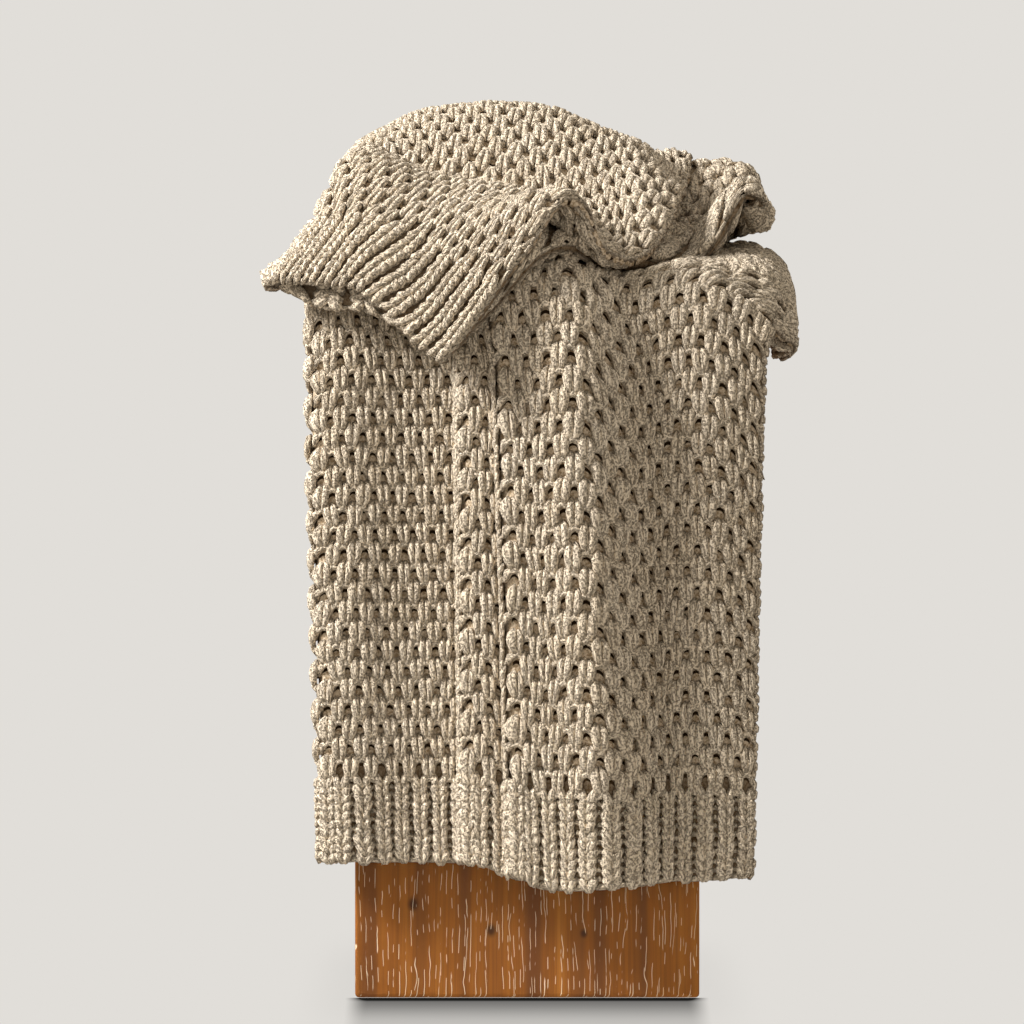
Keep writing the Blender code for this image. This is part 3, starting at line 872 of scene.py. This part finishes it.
class Shader:
    """Builds one material round its Principled BSDF."""

    def __init__(self, name: str, **constants: float | tuple) -> None:
        """Start the material.

        Args:
            name: its name.
            constants: settings of the Principled BSDF, with underscores for spaces.
        """
        self.material = bpy.data.materials.new(name)
        self.material.use_nodes = True
        self.tree = self.material.node_tree
        self.surface = self.tree.nodes["Principled BSDF"]
        for key, value in constants.items():
            self.surface.inputs[key.replace("_", " ").title().replace("Ior", "IOR")].default_value = value

    def node(self, kind: str, settings: dict | None = None, inputs: dict | None = None,
             output: str | int = 0) -> Wire:
        """Add any node.

        Args:
            kind: the node's type.
            settings: its properties, which are set first.
            inputs: values or wires by the input's name or number.
            output: which of its results to return.

        Returns:
            The result.
        """
        node = self.tree.nodes.new(kind)
        for key, value in (settings or {}).items():
            setattr(node, key, value)
        for key, value in (inputs or {}).items():
            if isinstance(value, Wire):
                self.tree.links.new(value.socket, node.inputs[key])
            else:
                node.inputs[key].default_value = value
        return Wire(self, node.outputs[output])

    def mix(self, factor: Wire | float, a: Wire | tuple, b: Wire | tuple) -> Wire:
        """Colour between a and b.

        Args:
            factor: 0 for a, 1 for b.
            a: first colour.
            b: second colour.

        Returns:
            The mixed colour.
        """
        return self.node("ShaderNodeMix", {"data_type": "RGBA"}, {0: factor, 6: a, 7: b}, 2)

    def place(self, scale: tuple[float, float, float]) -> Wire:
        """Object coordinates, in metres, times the scale."""
        here = self.node("ShaderNodeTexCoord", output="Object")
        return self.node("ShaderNodeVectorMath", {"operation": "MULTIPLY"}, {0: here, 1: scale})

    def attribute(self, name: str) -> Wire:
        """A value that the mesh carries."""
        return self.node("ShaderNodeAttribute", {"attribute_name": name}, output="Fac")

    def parts(self, vector: Wire) -> tuple[Wire, Wire, Wire]:
        """The three parts of a vector."""
        split = self.node("ShaderNodeSeparateXYZ", inputs={0: vector}).socket.node
        return tuple(Wire(self, split.outputs[k]) for k in range(3))

    def noise(self, place: Wire, scale: float = 1.0, detail: float = 3.0, roughness: float = 0.5) -> Wire:
        """Noise at a place."""
        return self.node("ShaderNodeTexNoise", None, {"Vector": place, "Scale": scale, "Detail": detail,
                                                      "Roughness": roughness}, "Fac")

    def feed(self, name: str, value: Wire) -> None:
        """Link a value to an input of the Principled BSDF."""
        self.tree.links.new(value.socket, self.surface.inputs[name])

    def bump(self, height: Wire, distance: float, strength: float = 1.0) -> None:
        """Feed a height, in millimetres times distance, to the normal."""
        self.feed("Normal", self.node("ShaderNodeBump", None, {
            "Height": height, "Distance": distance * MM, "Strength": strength}, "Normal"))


@dataclass(frozen=True)
class YarnFinish:
    """Matt chenille yarn: short pile, a slow twist of its plies, and warm painted shade deep between
    stitches.
    """

    light: tuple = (0.87, 0.75, 0.595, 1.0)
    mid: tuple = (0.76, 0.63, 0.465, 1.0)
    # The colour of the painted shade between the nubs and near the cloth.
    deep: tuple = (0.105, 0.055, 0.022, 1.0)

    def build(self) -> bpy.types.Material:
        """The material, which reads the yarn coordinates and the depth and tint of each stitch.

        Returns:
            The material: nubs are a soft step of fine noise and of noise drawn out along the yarn, with
                painted
            shade between them, and the strands are darker near the cloth as painted shade and differ a little
            from each other.
        """
        s = Shader("chenille_yarn", roughness=0.95, specular_ior_level=0.12, sheen_weight=0.18,
                   sheen_roughness=0.6, sheen_tint=(1.0, 0.9, 0.76, 1.0))
        u, v, _ = s.parts(s.node("ShaderNodeUVMap", {"uv_map": "yarn"}))
        here = s.place((1.0, 1.0, 1.0))
        pile = s.noise(here, 520.0, 2.0, 0.6)
        patch = s.noise(here, 9.0, 2.0)
        twist = s.node("ShaderNodeCombineXYZ", None, {0: u * 1.3 + v * 1.6, 1: v * 5.2, 2: patch * 40.0})
        fibre = s.noise(twist, 1.4, 2.0, 0.6)
        depth, tint = s.attribute("depth"), s.attribute("tint")
        ply = (u * 1.3 + v * 8.2 + pile * 1.0).sin().absolute()
        pattern = fibre * 0.40 + pile * 0.60 + ply * 0.06 - 0.04
        tuft = pattern.step(0.37, 0.53)
        colour = s.mix(tint * 0.5 + patch * 0.6, self.mid, self.light)
        # Painted shade between the nubs, where the tuft step is low.
        colour = s.mix(tuft, s.mix(0.63, colour, self.deep), colour)
        # Painted shade on the strands near the cloth, by their depth.
        colour = s.mix(depth.step(0.0, 0.6), s.mix(0.75, colour, self.deep), colour)
        s.feed("Base Color", colour)
        s.bump(tuft * 2.4 + pattern * 2.0 + ply * 0.4, 1.0)
        return s.material


@dataclass(frozen=True)
class GroundFinish:
    """The ground of the knit between its stitches, its pile darker than the yarn's as painted shade."""

    # Both pile tones are the yarn's darkened as painted shade; they differ from each other at random.
    light: tuple = (0.70, 0.57, 0.42, 1.0)
    deep: tuple = (0.36, 0.26, 0.16, 1.0)
    # The colour of the painted shade in the valleys of the ribs.
    valley_shade: tuple = (0.12, 0.075, 0.038, 1.0)
    # The colour of the painted shadow under each arch.
    arch_shadow: tuple = (0.022, 0.012, 0.005, 1.0)

    def build(self) -> bpy.types.Material:
        """The material, a soft pile of two tones, with painted shade in the valleys of the ribs.

        Returns:
            The material, with a painted shadow just under each arch: a dark crescent, a thin band bent down
            at its ends, where the product of two cosines over the lattice of the stitches is low.
        """
        s = Shader("chenille_ground", roughness=1.0, specular_ior_level=0.05)
        u, v, _ = s.parts(s.node("ShaderNodeUVMap", {"uv_map": "yarn"}))
        column, row = (u * math.tau).cos(), v * math.pi
        between = 0.0 - column * row.cos()
        bent = row - 0.30 + (1.0 - column.absolute()) * 0.5
        # Where the painted shadow under each arch falls.
        hollow = between.step(0.10, 0.35) * (1.0 - bent.sin().absolute().step(0.18, 0.36))
        pile = s.noise(s.place((1.0, 1.0, 1.0)), 420.0, 3.0, 0.6)
        body = s.attribute("depth")
        colour = s.mix(pile.step(0.40, 0.58), self.deep, self.light)
        colour = s.mix(hollow, colour, self.arch_shadow)
        # Painted shade in the hems' rib valleys, where depth is 0.
        s.feed("Base Color", s.mix(body, s.mix(0.75, colour, self.valley_shade), colour))
        s.bump(pile, 1.4)
        return s.material


@dataclass(frozen=True)
class WoodFinish:
    """Oiled reclaimed softwood: upright bands of tone, fine grain, pale cracks and a few dark knots."""

    dark: tuple = (0.15, 0.050, 0.012, 1.0)
    mid: tuple = (0.275, 0.092, 0.011, 1.0)
    light: tuple = (0.41, 0.155, 0.022, 1.0)
    crack: tuple = (0.88, 0.70, 0.48, 1.0)
    knot: tuple = (0.035, 0.012, 0.004, 1.0)
    # Each knot's x, z and radius on the front, and the depth by which the front's face has ended.
    knots: tuple = ((-0.101, 0.083, 0.0080), (-0.032, 0.060, 0.0075), (0.050, 0.057, 0.0055))
    face: tuple[float, float] = (-0.1526, -0.1505)

    def build(self) -> bpy.types.Material:
        """The material, all from object coordinates.

        Returns:
            The material: bands and grain are noise drawn out upright. A crack is where the sine of x + y,
            made wavy by noise, is near 0 and a slower noise is high. A knot is a round spot.
        """
        s = Shader("reclaimed_wood", roughness=0.6, specular_ior_level=0.2)
        sway = s.noise(s.place((3.0, 3.0, 2.2)), 1.0, 1.0)
        x, y, z = s.parts(s.place((1.0, 1.0, 1.0)))
        bent = s.node("ShaderNodeCombineXYZ", None, {0: x + sway * 0.012, 1: y + sway * 0.012, 2: z})

        def along(fine: float, slow: float, detail: float) -> Wire:
            """Noise that is fine across the grain and slow along it."""
            at = s.node("ShaderNodeVectorMath", {"operation": "MULTIPLY"}, {0: bent, 1: (fine, fine, slow)})
            return s.noise(at, 1.0, detail, 0.55)

        bands, grain = along(34.0, 0.9, 2.0), along(420.0, 7.0, 3.0)
        colour = s.mix(bands.step(0.32, 0.52), self.dark, self.mid)
        colour = s.mix(bands.step(0.50, 0.68) * 0.8, colour, self.light)
        colour = s.mix(grain.step(0.40, 0.66) * 0.45, colour, self.dark)
        spot: Wire | float = 0.0
        for kx, kz, radius in self.knots:
            far = ((x - kx) * (x - kx) * 1.8 + (z - kz) * (z - kz)) ** 0.5 + grain * 0.002
            spot = spot + (1.0 - far.step(radius * 0.35, radius * 1.25))
        spot = spot * (1.0 - y.step(*self.face))
        colour = s.mix(spot * 0.9, colour, self.knot)
        run, wave = x + y, along(26.0, 9.0, 2.0) * 7.0
        wave = wave + along(60.0, 60.0, 1.0) * 1.2
        short, long = along(170.0, 60.0, 1.0), along(110.0, 26.0, 2.0)
        thin = (1.0 - (run * 620.0 + wave).sin().absolute().step(0.08, 0.20)) * short.step(0.52, 0.56)
        thin = thin + (1.0 - (run * 290.0 + wave).sin().absolute().step(0.03, 0.10)) * long.step(0.50, 0.54)
        colour = s.mix(thin * 0.9, colour, self.crack)
        s.feed("Base Color", colour)
        s.feed("Roughness", 0.5 + grain * 0.25)
        s.bump(grain * 0.4 - thin * 0.4 - spot * 0.5, 0.5)
        return s.material


@dataclass(frozen=True)
class FloorFinish:
    """Pale studio floor that glows evenly, with a painted soft shadow close round the pedestal's foot."""

    colour: tuple = (0.753, 0.730, 0.694, 1.0)
    # The colour of the painted shadow round the foot.
    shade: tuple = (0.012, 0.012, 0.011, 1.0)
    foot: float = 0.1525

    def build(self) -> bpy.types.Material:
        """The material: a painted shadow in front of the foot that falls in three steps, and a little beside
        it.
        """
        s = Shader("studio_floor", base_color=(0.0, 0.0, 0.0, 1.0), roughness=1.0, specular_ior_level=0.0,
                   emission_strength=1.0)
        x, y, _ = s.parts(s.place((1.0, 1.0, 0.0)))
        beside = (x.absolute() - self.foot).math("MAXIMUM", 0.0)
        behind = (y.absolute() - self.foot).math("MAXIMUM", 0.0)
        ahead = (0.0 - y) - self.foot
        # Painted shadow in front of the foot.
        front = ((1.0 - ahead.step(0.0, 0.05)) * 0.60 + (1.0 - ahead.step(0.0, 0.30)) * 0.50
                 + (1.0 - ahead.step(0.1, 1.5)) * 0.30)
        front = front * ahead.step(-0.002, 0.002) * (1.0 - (x.absolute() - self.foot).step(-0.012, 0.012))
        # A faint painted shadow beside the foot.
        side = (1.0 - beside.step(0.0, 0.06)) * (1.0 - behind.step(0.0, 0.6)) * 0.07
        s.feed("Emission Color", s.mix(front.math("MAXIMUM", side), self.colour, self.shade))
        return s.material


@dataclass
class Throw:
    """The knitted throw: its ground sheet and every stitch on it."""

    gauge: Gauge = Gauge()
    # Height of the plain columns down the folds that show in front, and what they keep clear.
    fold_end: float = 560.0
    fold_clear: float = 7.5
    rib_clear: float = 0.7
    rib_close: float = 0.45
    # How far off the cloth a stitch has to be seen, the most stitches in a piece, and the random seed.
    seen_off: float = 8.0
    per_piece: int = 1150
    seed: int = 7

    def __post_init__(self) -> None:
        """Read the shape and start its one source of unevenness."""
        self.cloth = Cloth(ThrowShape())
        self.folds = (ACROSS["strip_fold"], ACROSS["panel_fold"])
        self.rib_folds = (ACROSS["left_fold"], *self.folds)
        self.flap_fold = ACROSS["left_fold"] - self.cloth.drawn_in
        self.rng = np.random.default_rng(self.seed)
        self.yarn = YarnFinish().build()
        self.pieces: list[bpy.types.Object] = []

    def build(self, pedestal: bpy.types.Object) -> None:
        """Build the sheet and its stitches, and report them.

        Args:
            pedestal: the CAD node that the throw lies on.
        """
        ground = GroundSheet(self.cloth, self.gauge).mesh()
        sheet = ground.build("throw_ground", GroundFinish().build())
        LOG.info("ground: %d faces", len(ground.faces))
        self.sight = Sight([sheet, pedestal])
        for name, strands, places, size in (
                ("honeycomb", BODY_STRANDS, self.body_places(), (1.0, 1.0, 1.0)),
                ("ribs", RIB_STRANDS, self.rib_places(), (1.3, 1.0, 1.1)),
                ("cords", RIB_STRANDS, self.cord_places(), (1.6, 1.0, 1.25)),
                ("purl", PURL_STRANDS, self.purl_places(), (1.0, 1.0, 1.0)),
                ("fold", FOLD_STRANDS, self.fold_places(), (1.0, 1.0, 1.0)),
                ("selvedge", EDGE_STRANDS, self.edge_places(), (1.0, 1.0, 1.0)),
                ("binding", BINDING_STRANDS, self.binding_places(), (1.0, 1.0, 1.0))):
            self.lay(name, Stitch(strands), places, size)
        self.cloth.width * MM
        for piece in [sheet, *self.pieces]:
            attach(piece, "root")
        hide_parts("throw")

    def lay(self, name: str, stitch: Stitch, places: np.ndarray, size: tuple) -> None:
        """Lay one kind of stitch where it can be seen, on both faces, in pieces of a fair size.

        Args:
            name: the pieces' name.
            stitch: what is laid.
            places: across and along of each.
            size: its across, along and out scale.
        """
        both = np.concatenate((places, places))
        face = np.repeat([Face.RIGHT.value, Face.WRONG.value], len(places))
        clear = self.cloth.at(both[:, 0], both[:, 1], face * self.seen_off)
        foot = self.cloth.at(both[:, 0], both[:, 1], face * 0.0)
        seen = self.sight.seen(clear * MM, (clear - foot) / self.seen_off)
        both, face = both[seen], face[seen]
        for k, part in enumerate(np.array_split(np.arange(len(both)), len(both) // self.per_piece + 1)):
            mesh = stitch.lay(self.cloth, both[part], face[part], np.array(size), self.rng)
            self.pieces.append(mesh.build(f"throw_{name}_{k + 1}", self.yarn))
            LOG.info("%s %d: %d stitches, %d faces", name, k + 1, len(part), len(mesh.faces))

    def body_places(self) -> np.ndarray:
        """Brick pattern of the honeycomb stitches between the two hems."""
        gauge, width = self.gauge, self.cloth.width
        rows = np.arange(gauge.hem + gauge.first, self.cloth.length - gauge.far_hem + 4, gauge.row)
        columns = np.arange(gauge.column / 2, width - 4, gauge.column)
        a, b = np.meshgrid(columns, rows, indexing="ij")
        a = a + np.where(np.arange(len(rows)) % 2 == 0, gauge.column / 2, 0.0)
        clear = np.min([np.abs(a - fold) for fold in self.folds], axis=0) > self.fold_clear
        keep = (a < width - 5) & (clear | (b > self.fold_end))
        return np.stack((a[keep], b[keep]), -1)

    def columns(self, pitch: float, folds: tuple[float, ...]) -> np.ndarray:
        """Ribs across the cloth, close together round the folds where its outer side is splayed.

        Args:
            pitch: millimetres from one rib to the next.
            folds: where the cloth folds, across it.

        Returns:
            Where each rib lies across the cloth, in millimetres.
        """
        columns, bent = np.arange(pitch / 2, self.cloth.width - 4, pitch), np.array(folds)
        clear = np.min(np.abs(columns[:, None] - bent), axis=1) > pitch * self.rib_clear
        close = pitch * self.rib_close
        return np.concatenate((columns[clear], bent - close, bent, bent + close))

    def rib_places(self) -> np.ndarray:
        """Columns of stitches in the ribbed hem in front."""
        rows = np.arange(4.0, self.gauge.hem, self.gauge.rib_row)
        return grid(self.columns(self.gauge.column, self.rib_folds), rows)

    def cord_places(self) -> np.ndarray:
        """Columns of stitches in the flap's ribbed hem."""
        rows = self.cloth.length - np.arange(4.0, self.gauge.far_hem, self.gauge.rib_row)
        return grid(self.columns(self.gauge.cord_pitch, (self.flap_fold,)), rows)

    def purl_places(self) -> np.ndarray:
        """Low rungs in the valleys between the ribs of the front hem."""
        rows = np.arange(7.0, self.gauge.hem, self.gauge.rib_row)
        columns = np.arange(self.gauge.column, self.cloth.width - 10, self.gauge.column)
        clear = np.min(np.abs(columns[:, None] - np.array(self.rib_folds)), axis=1) > 13.0
        return grid(columns[clear], rows)

    def fold_places(self) -> np.ndarray:
        """Plain columns down the two folds that show in front."""
        return grid(self.folds, np.arange(6.0, self.fold_end, self.gauge.rib_row))

    def edge_places(self) -> np.ndarray:
        """Chain stitches down both long edges."""
        return grid((0.6, self.cloth.width - 0.6), np.arange(3.0, self.cloth.length, self.gauge.chain))

    def binding_places(self) -> np.ndarray:
        """Loops along both hems' ends."""
        columns = np.arange(2.0, self.cloth.width, self.gauge.column / 2)
        return grid((0.8, self.cloth.length - 0.8), columns)[:, ::-1]


@dataclass(frozen=True)
class Studio:
    """Pale floor and backdrop, one large soft light from the upper left, and a long lens in front."""

    backdrop: tuple = (0.753, 0.730, 0.694, 1.0)
    ambient: tuple = (1.0, 0.93, 0.82, 1.0)
    ambient_strength: float = 0.58
    centre_x: float = -0.0135
    centre_z: float = 0.4311
    across: float = 0.904
    plane_y: float = -0.17
    lens: float = 400.0
    sensor: float = 36.0
    rise_deg: float = 2.0
    floor_half: float = 8.0

    def build(self) -> None:
        """Make the floor, lights, backdrop and camera."""
        self.floor()
        self.surround()
        for row in LIGHTS:
            self.light(*row)
        world = bpy.data.worlds.new("ambient")
        world.use_nodes = True
        world.node_tree.nodes["Background"].inputs["Color"].default_value = self.ambient
        world.node_tree.nodes["Background"].inputs["Strength"].default_value = self.ambient_strength
        bpy.context.scene.world = world
        settings = bpy.context.scene.view_settings
        settings.view_transform = "Standard"
        settings.exposure = 0.0
        self.camera()

    def floor(self) -> None:
        """A wide flat square under the pedestal."""
        size = self.floor_half
        mesh = bpy.data.meshes.new("floor")
        mesh.from_pydata([(-size, -size, 0), (size, -size, 0), (size, size, 0), (-size, size, 0)], [],
                         [(0, 1, 2, 3)])
        mesh.materials.append(FloorFinish().build())
        item = bpy.data.objects.new("floor", mesh)
        item.visible_diffuse = item.visible_glossy = False
        bpy.context.scene.collection.objects.link(item)

    def surround(self) -> None:
        """A plain backdrop on every side, which lights nothing."""
        bpy.ops.mesh.primitive_uv_sphere_add(segments=48, ring_count=24, radius=30.0)
        item = bpy.context.active_object
        item.name = "backdrop"
        item.data.materials.append(Shader("plain_backdrop", base_color=(0.0, 0.0, 0.0, 1.0), roughness=1.0,
                                          specular_ior_level=0.0, emission_color=self.backdrop,
                                          emission_strength=1.0).material)
        item.visible_diffuse = item.visible_glossy = item.visible_shadow = item.visible_transmission = False

    def light(self, name: str, place: tuple, size: float, power: float, colour: tuple, spread: float,
              target: tuple) -> None:
        """A square soft light.

        Args:
            name: its name.
            place: where it hangs, in metres.
            size: its side.
            power: its watts.
            colour: its colour.
            spread: the angle of its beam, in degrees.
            target: the point that it faces.
        """
        lamp = bpy.data.lights.new(name, "AREA")
        lamp.spread = math.radians(spread)
        lamp.size, lamp.energy, lamp.color = size, power, colour
        item = bpy.data.objects.new(name, lamp)
        item.location = place
        item.rotation_euler = (Vector(place) - Vector(target)).to_track_quat("Z", "Y").to_euler()
        bpy.context.scene.collection.objects.link(item)

    def camera(self) -> None:
        """A long lens, square to the front and a little above the middle."""
        data = bpy.data.cameras.new("camera")
        data.lens, data.sensor_width = self.lens, self.sensor
        distance = self.across * self.lens / self.sensor
        rise = math.radians(self.rise_deg)
        item = bpy.data.objects.new("camera", data)
        item.location = (self.centre_x, self.plane_y - distance * math.cos(rise),
                         self.centre_z + distance * math.sin(rise))
        item.rotation_euler = (math.pi / 2 - rise, 0.0, 0.0)
        data.clip_end = 100.0
        bpy.context.scene.collection.objects.link(item)
        bpy.context.scene.camera = item


def main() -> None:
    """Build the throw on its pedestal and the studio round them."""
    logging.basicConfig(level=logging.INFO, format="%(message)s")
    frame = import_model()
    pedestal = frame["nodes"]["pedestal"]
    pedestal.data.materials.clear()
    pedestal.data.materials.append(WoodFinish().build())
    Throw().build(pedestal)
    Studio().build()


if __name__ == "__main__":
    main()
